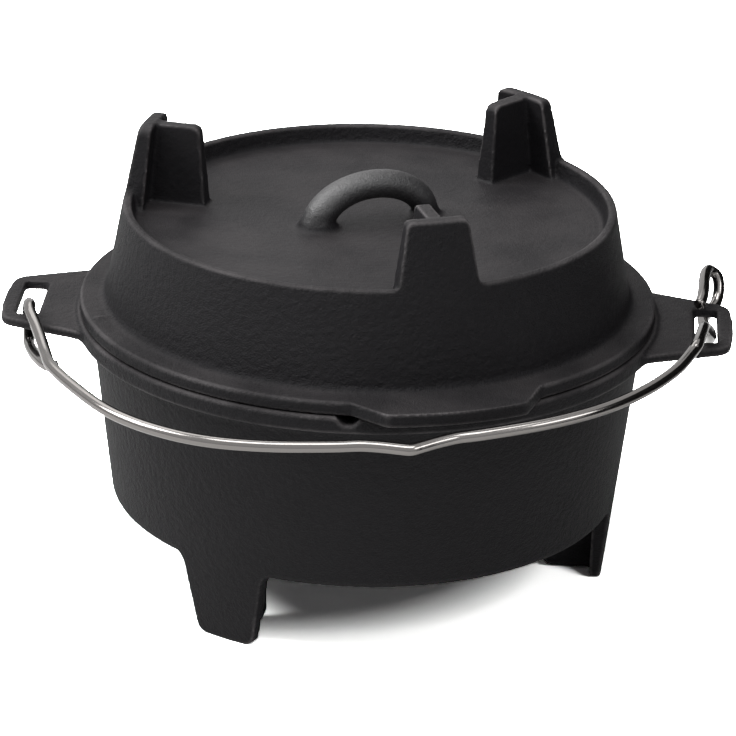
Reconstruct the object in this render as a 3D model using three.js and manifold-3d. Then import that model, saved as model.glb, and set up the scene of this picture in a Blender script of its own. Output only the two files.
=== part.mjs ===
// Cast iron dutch oven with a wire bail, for cooking over coals.
// The pot stands on three splayed legs. The lid has three legs as well, so that it can be turned
// over and used as a skillet. Millimetres, +Z up, feet on z = 0, ears along X, front towards -Y.

import * as THREE from "three";
import { mergeVertices } from "three/addons/utils/BufferGeometryUtils.js";
import Module from "manifold-3d";

const manifold = await Module();
manifold.setup();

// Fits shared by all the pieces
const seatGap = 0.3; // between the rim and the flange that rests on it
const runningGap = 0.35; // between the wire and the iron that it turns in
const overrun = 4; // how far a cutting tool runs past the face that it cuts
const toe = 0.1; // how far a fillet's toe runs past the face that it meets

// Pot body
const standHeight = 41.6; // floor to the underside
const bodyHeight = 102.8; // underside to the top of the rim
const coneFootRadius = 129.7; // outer wall, carried on down to the floor
const coneRimRadius = 146.8; // outer wall, carried on up to the top of the rim
const potWall = 5.5;
const potFloor = 6;
const bottomEdgeRound = 5.5;
const innerCornerRound = 12;

// Rim band
const rimProjection = 6.9; // how far the band stands out from the wall
const rimBand = 9;
const rimUnderFillet = 6.4;
const rimEdgeRound = 1.5;
const mouthChamfer = 1.2;

// Notch in the rim for a probe lead
const notchWidth = 12.8;
const notchFootWidth = 5;
const notchDepth = 4.3;

// Ears
const earLength = 40.3; // how far an ear reaches past the rim
const earDrop = 2.3; // rim top to the top of the ear
const earThickness = 5.2;
const earEndHalf = 29.8; // half the width at the outer end
const earRootHalf = 48; // half the width where its edges meet the rim
const earEndRound = 11;
const earEndBulge = 2.6; // how much the outer end stands out at its middle
const earRootFillet = 18;
const earEdgeRound = 1.4;
const earHoleInset = 18; // rim to the hand hole
const earHoleWidth = 13.6;
const earHoleHalf = 23.9; // half the length of the hand hole
const earHoleRound = 3;
const earFineness = 2; // the long curves of the ears have finer faces

// Pot legs: a plate that carries on the line of the wall, and a web behind it
const legFootHalf = 17;
const legRootHalf = 25.4;
const legRootFillet = 11;
const legFootRound = 5.5;
const legPlateFoot = 6;
const legPlateRoot = 8.5;
const legWebThickness = 9;
const legWebInset = 26.7; // length of the web behind the plate at its lower end
const legWebRootInset = 28; // the same where it meets the underside
const legWebLift = 0.8; // the web stops just short of the floor
const legWebRound = 6;

// Lid shell
const flangeOverhang = 13.2; // flange past the foot of the lid wall
const flangeThickness = 7.3;
const flangeTopRound = 1.6;
const flangeUnderRound = 1;
const lidWallInset = 8; // rim of the pot's wall to the foot of the lid's wall
const lidWallLean = 9.4; // how much the lid's wall leans in up to the lip
const lidLipHeight = 51.1; // flange top to the top of the lip
const lipWidth = 4.4;
const lipRound = 1.2;
const recessDepth = 10.1; // lip top to the floor of the coal tray
const recessDraft = 1.8; // how much the tray narrows towards its floor
const recessFillet = 3;
const lidWall = 5.5;
const lidFloor = 6;
const lidWallFillet = 4.5;
const lidInnerFillet = 10;
const ringDepth = 5; // locating ring that drops into the mouth of the pot
const ringClearance = 1.5;
const ringThickness = 4.4;

// Lifting tab on the flange
const tabOverhang = 15;
const tabEndHalf = 36.6;
const tabRootHalf = 50;
const tabCornerRound = 4.5;
const tabEdgeRound = 1.3;

// Lid legs
const lidLegHeight = 33.4; // above the lip
const lidLegTopHalf = 16;
const lidLegRootHalf = 22.9;
const lidLegCornerRound = 4;
const lidLegRootFillet = 13;
const lidLegInnerFillet = 4;
const lidLegPlateTop = 7;
const lidLegPlateRoot = 12; // from the line of the outer wall to the inner face, at the tray floor
const lidLegWebTopThickness = 7.5;
const lidLegWebRootThickness = 11.5;
const lidLegWebTop = 24; // length of the web behind the plate at its top
const lidLegWebRoot = 31;
const lidLegWebDrop = 0.8; // the web stops just below the top of the plate
const lidLegWebRound = 4;

// Loop handle in the tray, a mesh of its own just clear of the tray floor that it is cast on
const handleBar = 7.6; // radius of the bar at its crown
const handleLeftBar = 9.2; // and at its feet, one of which was cast stouter
const handleRightBar = 6.7;
const handleHalfSpan = 30.9;
const handleOffset = 1.3; // middle of the arch from the axis of the lid
const handleRise = 19.8; // foot of the bar to its centre at the crown
const handleFootFlare = 3.2;
const handleFootHeight = 5;

// Alignment tick cast on the flange
const tickLength = 8.5;
const tickWidth = 2;
const tickHeight = 0.8;
const tickInset = 3.5; // from the edge of the flange

// Wire bail
const wireRadius = 3.1;
const bowClearance = 3.2; // bow to the lifting tab as the bail swings past it
const bowShift = 1.8; // the bow hangs a little to one side
const bowLift = 17; // plane of the bow above the hinge line, at its middle
const kinkDepth = 8.8;

// Angles, in degrees
const potLegAngles = [0, 120, 240];
const lidLegAngles = [-70.5, 49.5, 169.5];
const tabAngle = -70.5;
const handleAngle = 27.4;
const tickAngle = -159.3;
const bowDroop = 6; // the bow hangs forward and down
const bowRoll = 3.63; // and its right side stands higher

// Fineness of the faces
const turns = 60; // faces round a turned shape
const roundSteps = 2; // faces in a quarter turn of an edge
const handleSteps = 20;
const handleSides = 14;
const wireSides = 8;
const wireSteps = 190;

// Derived levels and radii
const rimTop = standHeight + bodyHeight;
const bandBottom = rimTop - rimBand;
const flangeBottom = rimTop + seatGap;
const flangeTop = flangeBottom + flangeThickness;
const lipTop = flangeTop + lidLipHeight;
const trayFloor = lipTop - recessDepth;
const handleBase = trayFloor + seatGap;
const lidTop = lipTop + lidLegHeight;
const earTop = rimTop - earDrop;
const earMiddle = earTop - earThickness / 2;
const rimRadius = coneRimRadius + rimProjection;
const lidWallFootRadius = coneRimRadius - lidWallInset; // outer wall, carried down to the flange
const lidLipRadius = lidWallFootRadius - lidWallLean; // outer wall at the top of the lip
const flangeRadius = lidWallFootRadius + flangeOverhang;
const tabRadius = flangeRadius + tabOverhang;
const earReach = rimRadius + earLength;
const holeInner = rimRadius + earHoleInset;
const holeOuter = holeInner + earHoleWidth;
const ringRadius = coneRimRadius - potWall - ringClearance;
const potTaper = (coneRimRadius - coneFootRadius) / rimTop;
const lidTaper = (lidLipRadius - lidWallFootRadius) / lidLipHeight;

const potCone = (z) => coneFootRadius + potTaper * z;
const lidCone = (z) => lidWallFootRadius + lidTaper * (z - flangeTop);
const radians = THREE.MathUtils.degToRad;

// Shape helpers

// Points of an outline given as corners [x, y, round]; a round is limited by the edges beside it.
function roundedOutline(corners, fineness = 1) {
  const count = corners.length;
  const spots = corners.map(([x, y]) => new THREE.Vector2(x, y));
  const halves = [];
  const wanted = corners.map(([, , round = 0], i) => {
    const before = spots[(i + count - 1) % count].clone().sub(spots[i]).normalize();
    const after = spots[(i + 1) % count].clone().sub(spots[i]).normalize();
    const half = Math.acos(THREE.MathUtils.clamp(before.dot(after), -1, 1)) / 2;
    halves.push({ before, after, half });
    return round / Math.tan(half);
  });
  const points = [];
  for (let i = 0; i < count; i += 1) {
    const { before, after, half } = halves[i];
    const sides = [(i + count - 1) % count, (i + 1) % count];
    const room = sides.map((j) => spots[i].distanceTo(spots[j]) / (wanted[i] + wanted[j]));
    const length = wanted[i] * Math.min(1, ...room);
    if (!(length > 0)) {
      points.push(spots[i]);
      continue;
    }
    const radius = length * Math.tan(half);
    const middle = before.clone().add(after).normalize();
    const centre = middle.multiplyScalar(radius / Math.sin(half)).add(spots[i]);
    const start = before.clone().multiplyScalar(length).add(spots[i]).sub(centre);
    const end = after.clone().multiplyScalar(length).add(spots[i]).sub(centre);
    const sweep = Math.atan2(start.cross(end), start.dot(end));
    const steps = Math.max(1, Math.round((Math.abs(sweep) / (Math.PI / 2)) * roundSteps * fineness));
    for (let k = 0; k <= steps; k += 1) {
      points.push(start.clone().rotateAround(new THREE.Vector2(), (sweep * k) / steps).add(centre));
    }
  }
  return points.filter((p, i) => p.distanceTo(points[(i + 1) % points.length]) > seatGap / 1000);
}

function toSolid(geometry) {
  const bare = geometry.clone();
  bare.deleteAttribute("normal");
  bare.deleteAttribute("uv");
  const merged = mergeVertices(bare, seatGap / 1000);
  const index = merged.index.array;
  const kept = [];
  for (let i = 0; i < index.length; i += 3) {
    const [a, b, c] = [index[i], index[i + 1], index[i + 2]];
    if (a !== b && b !== c && c !== a) kept.push(a, b, c);
  }
  const mesh = new manifold.Mesh({
    numProp: 3,
    vertProperties: new Float32Array(merged.attributes.position.array),
    triVerts: new Uint32Array(kept),
  });
  return new manifold.Manifold(mesh);
}

function toGeometry(solid) {
  const mesh = solid.getMesh();
  const geometry = new THREE.BufferGeometry();
  geometry.setAttribute("position", new THREE.BufferAttribute(mesh.vertProperties, 3));
  geometry.setIndex(new THREE.BufferAttribute(mesh.triVerts, 1));
  const flat = geometry.toNonIndexed();
  flat.computeVertexNormals();
  return flat;
}

// Drops the slivers without volume that a cut can leave where two faces touch.
function withoutSlivers(solid) {
  return joined(solid.decompose().filter((piece) => piece.volume() > seatGap ** 3));
}

// A solid turned about the Z axis from a profile of [radius, height] points.
function turned(profile, faces = turns) {
  const closed = profile[0].x === 0 ? profile : [...profile, profile[0]];
  return toSolid(new THREE.LatheGeometry(closed, faces).rotateX(Math.PI / 2));
}

// A prism from points in (across, up), standing in the radial direction given by an angle.
function radialPrism(points, from, to, degrees) {
  const geometry = new THREE.ExtrudeGeometry(new THREE.Shape(points), { depth: to - from, bevelEnabled: false });
  geometry.applyMatrix4(
    new THREE.Matrix4().makeBasis(
      new THREE.Vector3(0, 1, 0),
      new THREE.Vector3(0, 0, 1),
      new THREE.Vector3(1, 0, 0),
    ),
  );
  geometry.translate(from, 0, 0);
  geometry.rotateZ(radians(degrees));
  return toSolid(geometry);
}

// A web from points in (radius, up), of a thickness across at its foot and at its top, in the direction
// given by an angle.
function radialWeb(points, footThickness, topThickness, degrees) {
  const thickness = Math.max(footThickness, topThickness);
  const edge = thickness / 5;
  const geometry = new THREE.ExtrudeGeometry(new THREE.Shape(points), {
    depth: thickness - 2 * edge,
    bevelThickness: edge,
    bevelSize: edge,
    bevelOffset: -edge,
    bevelSegments: 2,
  });
  geometry.translate(0, 0, edge - thickness / 2);
  const heights = points.map((p) => p.y);
  const spots = geometry.attributes.position;
  for (let i = 0; i < spots.count; i += 1) {
    const share = THREE.MathUtils.inverseLerp(Math.min(...heights), Math.max(...heights), spots.getY(i));
    const across = THREE.MathUtils.lerp(footThickness, topThickness, share) / thickness;
    spots.setZ(i, spots.getZ(i) * across);
  }
  geometry.rotateX(Math.PI / 2);
  geometry.rotateZ(radians(degrees));
  return toSolid(geometry);
}

// A flat plate from an outline in plan, with softened edges.
function castPlate(shape, bottom, thickness, edge) {
  const geometry = new THREE.ExtrudeGeometry(shape, {
    depth: thickness - 2 * edge,
    bevelThickness: edge,
    bevelSize: edge,
    bevelOffset: -edge,
    bevelSegments: 2,
  });
  geometry.translate(0, 0, bottom + edge);
  return geometry;
}

// Arc where a level face at height z rounds over into a cone; side is 1 for a top edge, -1 for a lower one.
function coneEdge(cone, taper, z, round, side) {
  const centreZ = z - side * round;
  const centreR = cone(centreZ) - round * Math.hypot(1, taper);
  const start = (side * Math.PI) / 2;
  const end = -Math.atan(taper);
  const points = [];
  for (let k = 0; k <= roundSteps; k += 1) {
    const angle = THREE.MathUtils.lerp(start, end, k / roundSteps);
    points.push(new THREE.Vector2(centreR + round * Math.cos(angle), centreZ + round * Math.sin(angle)));
  }
  return points;
}

const joined = (solids) => solids.reduce((all, one) => all.add(one));

// Pot

function makePotBody() {
  return turned(
    roundedOutline([
      [0, -overrun],
      [potCone(-overrun), -overrun],
      [potCone(bandBottom), bandBottom, rimUnderFillet],
      [rimRadius, bandBottom, rimEdgeRound],
      [rimRadius, rimTop, rimEdgeRound],
      [0, rimTop],
    ]),
  );
}

// What is cut away under the body, with its rounded lower edge and the three leg plates left behind.
function makePotSkirtCut() {
  const edge = coneEdge(potCone, potTaper, standHeight, bottomEdgeRound, -1);
  const level = edge[edge.length - 1].y;
  const outer = potCone(level) + overrun;
  const space = turned([
    new THREE.Vector2(0, -2 * overrun),
    new THREE.Vector2(outer, -2 * overrun),
    new THREE.Vector2(outer, level),
    ...edge.reverse(),
    new THREE.Vector2(0, standHeight),
  ]);
  const plateInner = turned(
    roundedOutline([
      [0, -overrun],
      [coneFootRadius - legPlateFoot, -overrun],
      [potCone(standHeight) - legPlateRoot, standHeight + toe, legPlateFoot / 2],
      [0, standHeight + toe],
    ]),
  );
  const root = level + toe;
  const wide = legRootHalf + 2 * legRootFillet;
  const outline = roundedOutline([
    [-legFootHalf, 0, legFootRound],
    [legFootHalf, 0, legFootRound],
    [legRootHalf, root, legRootFillet],
    [wide, root],
    [wide, root + overrun],
    [-wide, root + overrun],
    [-wide, root],
    [-legRootHalf, root, legRootFillet],
  ]);
  const from = coneFootRadius - legPlateFoot - legPlateRoot - overrun;
  const legs = potLegAngles.map((angle) => radialPrism(outline, from, outer + overrun, angle));
  return space.subtract(joined(legs).subtract(plateInner));
}

function makePotLegWeb(angle) {
  const footInner = coneFootRadius - legPlateFoot;
  const outline = roundedOutline([
    [footInner - legWebInset, legWebLift, legWebRound],
    [footInner + legPlateFoot / 2, legWebLift],
    [footInner + legPlateFoot / 2, standHeight + potFloor / 2],
    [footInner - legWebRootInset, standHeight + potFloor / 2],
  ]);
  return radialWeb(outline, legWebThickness, legWebThickness, angle);
}

function makeEar(side) {
  const rootAngle = Math.asin(earRootHalf / rimRadius);
  const anchorAngle = rootAngle + 2 * Math.asin(earRootFillet / 2 / rimRadius);
  const inside = rimRadius - rimEdgeRound;
  const rootX = rimRadius * Math.cos(rootAngle);
  const anchor = [inside * Math.cos(anchorAngle), inside * Math.sin(anchorAngle)];
  const outline = roundedOutline([
    [anchor[0] - rimProjection, -anchor[1]],
    [anchor[0], -anchor[1]],
    [rootX, -earRootHalf, earRootFillet],
    [earReach - earEndBulge, -earEndHalf, earEndRound],
    [earReach, 0, earReach / 2],
    [earReach - earEndBulge, earEndHalf, earEndRound],
    [rootX, earRootHalf, earRootFillet],
    [anchor[0], anchor[1]],
    [anchor[0] - rimProjection, anchor[1]],
  ], earFineness);
  const hole = roundedOutline([
    [holeInner, -earHoleHalf, earHoleRound],
    [holeOuter, -earHoleHalf, earHoleRound],
    [holeOuter, earHoleHalf, earHoleRound],
    [holeInner, earHoleHalf, earHoleRound],
  ]);
  const shape = new THREE.Shape(outline);
  shape.holes.push(new THREE.Path(hole));
  const plate = castPlate(shape, earTop - earThickness, earThickness, earEdgeRound);
  if (side < 0) plate.rotateZ(Math.PI);
  return toSolid(plate);
}

function makePotCavity() {
  const inner = (z) => potCone(z) - potWall;
  const floorTop = standHeight + potFloor;
  const reach = mouthChamfer + overrun;
  return turned(
    roundedOutline([
      [0, floorTop],
      [inner(floorTop), floorTop, innerCornerRound],
      [inner(rimTop - mouthChamfer), rimTop - mouthChamfer],
      [inner(rimTop - mouthChamfer) + reach, rimTop - mouthChamfer + reach],
      [0, rimTop - mouthChamfer + reach],
    ]),
  );
}

function makeNotch() {
  const outline = roundedOutline([
    [-notchFootWidth / 2, rimTop - notchDepth, notchDepth / 4],
    [notchFootWidth / 2, rimTop - notchDepth, notchDepth / 4],
    [notchWidth / 2, rimTop],
    [notchWidth / 2, rimTop + overrun],
    [-notchWidth / 2, rimTop + overrun],
    [-notchWidth / 2, rimTop],
  ]);
  return radialPrism(outline, coneRimRadius - potWall - overrun, rimRadius + overrun, -90);
}

function makePot() {
  const outside = joined([
    makePotBody().subtract(makePotSkirtCut()),
    ...potLegAngles.map(makePotLegWeb),
    makeEar(1),
    makeEar(-1),
  ]);
  return withoutSlivers(outside.subtract(makePotCavity()).subtract(makeNotch()));
}

// Lid

function makeLidBody() {
  return turned(
    roundedOutline([
      [0, flangeBottom - ringDepth],
      [ringRadius, flangeBottom - ringDepth, ringDepth / 5],
      [ringRadius, flangeBottom],
      [flangeRadius, flangeBottom, flangeUnderRound],
      [flangeRadius, flangeTop, flangeTopRound],
      [lidWallFootRadius, flangeTop, lidWallFillet],
      [lidCone(lidTop), lidTop, lidLegPlateTop / 5],
      [0, lidTop],
    ]),
  );
}

// What is cut away above the tray and the lip, with the three leg plates left behind.
function makeTrayCut() {
  const edge = coneEdge(lidCone, lidTaper, lipTop, lipRound, 1);
  const level = edge[edge.length - 1].y;
  const lipInner = lidLipRadius - lipWidth;
  const outer = lidLipRadius + overrun;
  const top = lidTop + overrun;
  const tray = roundedOutline([
    [0, trayFloor],
    [lipInner - recessDraft, trayFloor, recessFillet],
    [lipInner, lipTop, lipRound],
    [lipInner + lipWidth / 2, lipTop],
    [lipInner + lipWidth / 2, top],
    [0, top],
  ]);
  const space = turned([
    ...tray.slice(0, -2),
    ...edge,
    new THREE.Vector2(outer, level),
    new THREE.Vector2(outer, top),
    new THREE.Vector2(0, top),
  ]);
  const plateInner = turned(
    roundedOutline([
      [0, trayFloor - toe],
      [lidCone(trayFloor) - lidLegPlateRoot, trayFloor - toe, lidLegInnerFillet],
      [lidCone(top) - lidLegPlateTop, top],
      [0, top],
    ]),
  );
  const wide = lidLegRootHalf + 2 * lidLegRootFillet;
  const flared = (base, fillet) =>
    roundedOutline([
      [-wide, base - overrun],
      [wide, base - overrun],
      [wide, base],
      [lidLegRootHalf, base, fillet],
      [lidLegTopHalf, lidTop, lidLegCornerRound],
      [-lidLegTopHalf, lidTop, lidLegCornerRound],
      [-lidLegRootHalf, base, fillet],
      [-wide, base],
    ]);
  const seam = lipInner + lipWidth / 2;
  const from = lidCone(trayFloor) - lidLegPlateRoot - lidLegInnerFillet - overrun;
  const legs = lidLegAngles.flatMap((angle) => [
    radialPrism(flared(level - toe, lidLegRootFillet), seam, outer + overrun, angle),
    radialPrism(flared(trayFloor - toe, lidLegInnerFillet), from, seam + toe, angle),
  ]);
  return space.subtract(joined(legs).subtract(plateInner));
}

function makeLidLegWeb(angle) {
  const innerTop = lidCone(lidTop) - lidLegPlateTop;
  const innerRoot = lidCone(trayFloor) - lidLegPlateRoot;
  const top = lidTop - lidLegWebDrop;
  const outline = roundedOutline([
    [innerRoot - lidLegWebRoot, trayFloor - lidFloor / 2],
    [innerTop + lidLegPlateTop / 3, trayFloor - lidFloor / 2],
    [innerTop + lidLegPlateTop / 3, top],
    [innerTop - lidLegWebTop, top, lidLegWebRound],
  ]);
  return radialWeb(outline, lidLegWebRootThickness, lidLegWebTopThickness, angle);
}

function makeTab() {
  const rootR = Math.sqrt(flangeRadius ** 2 - tabRootHalf ** 2);
  const endR = Math.sqrt(tabRadius ** 2 - tabEndHalf ** 2);
  const arcSteps = 6;
  const half = Math.asin(tabEndHalf / tabRadius);
  const edge = [];
  for (let k = 1; k < arcSteps; k += 1) {
    const angle = THREE.MathUtils.lerp(-half, half, k / arcSteps);
    edge.push([tabRadius * Math.cos(angle), tabRadius * Math.sin(angle)]);
  }
  const outline = roundedOutline([
    [lidWallFootRadius, -tabRootHalf],
    [rootR, -tabRootHalf],
    [endR, -tabEndHalf, tabCornerRound],
    ...edge,
    [endR, tabEndHalf, tabCornerRound],
    [rootR, tabRootHalf],
    [lidWallFootRadius, tabRootHalf],
  ]);
  const plate = castPlate(new THREE.Shape(outline), flangeBottom, flangeThickness, tabEdgeRound);
  return toSolid(plate.rotateZ(radians(tabAngle)));
}

function makeLidCavity() {
  const ceiling = trayFloor - lidFloor;
  const inner = (z) => lidCone(z) - lidWall;
  const bottom = flangeBottom - ringDepth - overrun;
  return turned(
    roundedOutline([
      [0, bottom],
      [ringRadius - ringThickness, bottom],
      [ringRadius - ringThickness, flangeBottom],
      [inner(flangeTop), flangeTop, lidWallFillet],
      [inner(ceiling), ceiling, lidInnerFillet],
      [0, ceiling],
    ]),
  );
}

// The bar of the handle: rings along an arch, with the bar's radius changing from foot to foot.
function makeHandleBar() {
  const foot = handleBase + toe; // the bar ends inside the flare of its foot
  const rings = [];
  for (let k = 0; k <= handleSteps; k += 1) {
    const share = k / handleSteps;
    const angle = Math.PI * (1 - share);
    const centre = new THREE.Vector3(handleHalfSpan * Math.cos(angle), 0, foot + handleRise * Math.sin(angle));
    const out = new THREE.Vector3(handleRise * Math.cos(angle), 0, handleHalfSpan * Math.sin(angle)).normalize();
    const end = angle > Math.PI / 2 ? handleLeftBar : handleRightBar;
    rings.push({ centre, out, bar: THREE.MathUtils.lerp(handleBar, end, (2 * share - 1) ** 2) });
  }
  const across = new THREE.Vector3(0, 1, 0);
  const spots = rings.flatMap(({ centre, out, bar }) =>
    Array.from({ length: handleSides }, (_, side) => {
      const angle = (2 * Math.PI * side) / handleSides;
      const spot = centre.clone().addScaledVector(out, bar * Math.cos(angle));
      return spot.addScaledVector(across, bar * Math.sin(angle)).toArray();
    }),
  );
  const faces = [];
  const last = spots.length - handleSides;
  for (let side = 0; side < handleSides; side += 1) {
    const next = (side + 1) % handleSides;
    for (let base = 0; base < last; base += handleSides) {
      faces.push(base + side, base + handleSides + side, base + next);
      faces.push(base + next, base + handleSides + side, base + handleSides + next);
    }
    if (side > 0 && next > 0) faces.push(0, side, next, last, last + next, last + side);
  }
  const geometry = new THREE.BufferGeometry();
  geometry.setAttribute("position", new THREE.Float32BufferAttribute(spots.flat(), 3));
  geometry.setIndex(faces);
  return toSolid(geometry);
}

function makeHandleFoot(x, bar) {
  const foot = turned(
    [
      new THREE.Vector2(0, handleBase),
      new THREE.Vector2(bar + handleFootFlare, handleBase),
      new THREE.Vector2(bar + handleFootFlare / 3, handleBase + handleFootHeight / 3),
      new THREE.Vector2(bar - handleFootFlare / 8, handleBase + handleFootHeight),
      new THREE.Vector2(0, handleBase + handleFootHeight),
    ],
    handleSides,
  );
  return foot.translate(x, 0, 0);
}

function makeHandle() {
  const parts = [
    makeHandleBar(),
    makeHandleFoot(-handleHalfSpan, handleLeftBar),
    makeHandleFoot(handleHalfSpan, handleRightBar),
  ];
  return withoutSlivers(joined(parts).translate(handleOffset, 0, 0).rotate(0, 0, handleAngle));
}

function makeTick() {
  const outline = roundedOutline([
    [-tickWidth / 2, flangeTop - flangeThickness / 2],
    [tickWidth / 2, flangeTop - flangeThickness / 2],
    [tickWidth / 2, flangeTop + tickHeight, tickHeight / 2],
    [-tickWidth / 2, flangeTop + tickHeight, tickHeight / 2],
  ]);
  const outer = flangeRadius - tickInset;
  return radialPrism(outline, outer - tickLength, outer, tickAngle);
}

function makeLid() {
  const shell = joined([makeLidBody(), makeTab()]).subtract(makeTrayCut()).subtract(makeLidCavity());
  return withoutSlivers(joined([shell, ...lidLegAngles.map(makeLidLegWeb), makeTick()]));
}

// Bail

// The eyes turn on the front bar of the left ear and the back bar of the right ear, so the hinge
// line runs across the pot at a slight angle. Points here are along that line, behind it and above it.
const barHalf = (earEndHalf + (earReach - (holeInner + holeOuter) / 2)
  * (earRootHalf - earEndHalf) / (earReach - rimRadius * Math.cos(Math.asin(earRootHalf / rimRadius)))
  - earHoleHalf) / 2;
const barX = (holeInner + holeOuter) / 2 - earHoleWidth / 8;
const barY = earHoleHalf + barHalf;
const hingeYaw = Math.atan2(barY, barX);
const hingeReach = Math.hypot(barX, barY);
const eyeRadius = Math.hypot(barHalf - earEdgeRound / 2, earThickness / 2 - earEdgeRound / 2)
  + earEdgeRound / 2 + wireRadius + runningGap;

// The bow from its middle outwards: shares of its half width, of its depth and of the kink's depth
const bowShares = [
  [0.03, 1, 0.8],
  [0.068, 1, 0.49],
  [0.1, 1, 0.27],
  [0.14, 1, 0.06],
  [0.2, 0.9975, 0],
  [0.282, 0.985, 0],
  [0.367, 0.969, 0],
  [0.452, 0.946, 0],
  [0.537, 0.914, 0],
  [0.621, 0.869, 0],
  [0.706, 0.805, 0],
  [0.763, 0.75, 0],
  [0.819, 0.682, 0],
  [0.876, 0.585, 0],
];
// Left end, in shares of the eye radius from the hinge point: along, forward and up
const leftEyeShares = [
  [1.0, 6.4, 0.0],
  [0.78, 5.05, 0.14],
  [0.57, 3.5, 0.4],
  [0.31, 1.9, 0.68],
  [0.1, 0.85, 0.92],
  [0.09, 0.0, 1.02],
  [0.06, -0.72, 0.74],
  [0.05, -1.04, 0.0],
  [0.06, -0.74, -0.78],
  [0.03, 0.0, -1.15],
  [0.15, 1.25, -1.15],
  [0.42, 2.7, -1.06],
  [0.68, 3.65, -0.95],
  [0.98, 4.2, -0.9],
  [1.4, 4.45, -0.82],
];
// Right end: over the front bar, down through the hole, under the back bar and round behind it
const rightEyeShares = [
  [-2.09, 10.0, 1.87],
  [-1.61, 8.55, 1.88],
  [-1.18, 7.1, 1.72],
  [-0.89, 6.29, 1.34],
  [-0.58, 5.54, 0.86],
  [-0.28, 4.5, 0.22],
  [-0.07, 3.22, -0.45],
  [0.06, 1.94, -0.86],
  [0.2, 0.65, -1.0],
  [0.25, 0.0, -1.05],
  [0.27, -0.55, -1.05],
  [0.34, -1.1, -1.02],
  [0.78, -1.85, -0.92],
  [1.3, -2.5, -0.62],
  [1.52, -3.0, 0.0],
  [1.44, -3.3, 0.66],
  [1.05, -3.3, 1.0],
  [0.64, -2.4, 1.24],
  [0.33, -1.25, 1.24],
  [0.1, -0.11, 1.16],
  [-0.18, 0.97, 0.99],
  [-0.44, 1.56, 0.82],
];

function bailPath() {
  const droop = radians(bowDroop);
  const roll = radians(bowRoll);
  const along = new THREE.Vector3(Math.cos(roll), 0, Math.sin(roll));
  const normal = new THREE.Vector3(-Math.sin(roll), 0, Math.cos(roll));
  const forward = new THREE.Vector3(0, -Math.cos(droop), 0).addScaledVector(normal, -Math.sin(droop));
  const halfSpan = hingeReach - eyeRadius / 4;
  const depth = tabRadius + bowClearance;
  const onBow = (side, [alongShare, forwardShare, kinkShare]) =>
    new THREE.Vector3(0, 0, bowLift)
      .addScaledVector(along, side * alongShare * halfSpan + bowShift)
      .addScaledVector(forward, forwardShare * depth + kinkShare * kinkDepth);
  const onEye = (side) => ([alongShare, forwardShare, upShare]) =>
    new THREE.Vector3(
      side * hingeReach + alongShare * eyeRadius,
      -forwardShare * eyeRadius,
      upShare * eyeRadius,
    );
  const left = bowShares.map((shares) => onBow(-1, shares));
  const right = bowShares.map((shares) => onBow(1, shares));
  const tip = onBow(0, [0, 1, 1]);
  return new THREE.CatmullRomCurve3(
    [
      ...leftEyeShares.map(onEye(-1)).reverse(),
      ...left.reverse(),
      tip,
      ...right,
      ...rightEyeShares.map(onEye(1)),
    ],
    false,
    "centripetal",
  );
}

function makeBail() {
  const section = new THREE.Shape().absarc(0, 0, wireRadius, 0, 2 * Math.PI);
  return toSolid(
    new THREE.ExtrudeGeometry(section, {
      steps: wireSteps,
      curveSegments: wireSides / 2,
      extrudePath: bailPath(),
    }),
  );
}

// Assembly

const seasonedIron = { color: 0x2b2a2a, roughness: 0.62, metalness: 0.25 };
const stainlessWire = { color: 0xb9bbbd, roughness: 0.28, metalness: 1 };

function addMesh(parent, name, solid, look) {
  const mesh = new THREE.Mesh(toGeometry(solid), new THREE.MeshStandardMaterial(look));
  mesh.name = name;
  parent.add(mesh);
  return mesh;
}

const dutchOven = new THREE.Group();
addMesh(dutchOven, "pot", makePot(), seasonedIron);
addMesh(dutchOven, "lid", makeLid(), seasonedIron);
addMesh(dutchOven, "lid_handle", makeHandle(), seasonedIron);
const bail = addMesh(dutchOven, "bail", makeBail(), stainlessWire);
bail.rotation.z = hingeYaw;
bail.position.z = earMiddle;

// The origin is on the floor, in the middle of the space that the oven takes up.
dutchOven.updateMatrixWorld(true);
const footprint = new THREE.Box3().setFromObject(dutchOven, true);
dutchOven.position.y = -(footprint.min.y + footprint.max.y) / 2;
dutchOven.position.x = -(footprint.min.x + footprint.max.x) / 2;

export default dutchOven;
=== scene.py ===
# A cast iron dutch oven with a wire bail, on a white studio floor.
# Metres throughout; the dictionaries beside each piece hold its sizes in millimetres.
import math

import bmesh
import bpy
from mathutils import Matrix, Vector


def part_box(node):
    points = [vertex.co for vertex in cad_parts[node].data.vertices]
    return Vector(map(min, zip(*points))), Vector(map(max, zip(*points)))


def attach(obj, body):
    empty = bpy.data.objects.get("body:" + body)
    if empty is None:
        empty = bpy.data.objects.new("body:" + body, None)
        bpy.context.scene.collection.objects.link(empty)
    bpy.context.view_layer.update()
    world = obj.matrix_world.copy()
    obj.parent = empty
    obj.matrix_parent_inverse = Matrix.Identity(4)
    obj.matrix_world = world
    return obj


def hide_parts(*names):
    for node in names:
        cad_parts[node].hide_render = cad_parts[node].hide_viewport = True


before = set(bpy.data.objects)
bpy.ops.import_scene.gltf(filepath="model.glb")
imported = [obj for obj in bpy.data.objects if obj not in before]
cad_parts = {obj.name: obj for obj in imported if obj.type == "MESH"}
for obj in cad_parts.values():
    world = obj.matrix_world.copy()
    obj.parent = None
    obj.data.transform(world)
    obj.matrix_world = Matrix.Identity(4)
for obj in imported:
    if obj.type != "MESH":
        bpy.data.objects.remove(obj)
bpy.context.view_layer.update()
mm = 0.001
potLow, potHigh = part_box("pot")
potAxis = Vector((0.0, (potLow[1] + potHigh[1]) / 2, 0.0))
overrun = 3.0  # how far a cutting shape reaches past what it cuts
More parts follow.
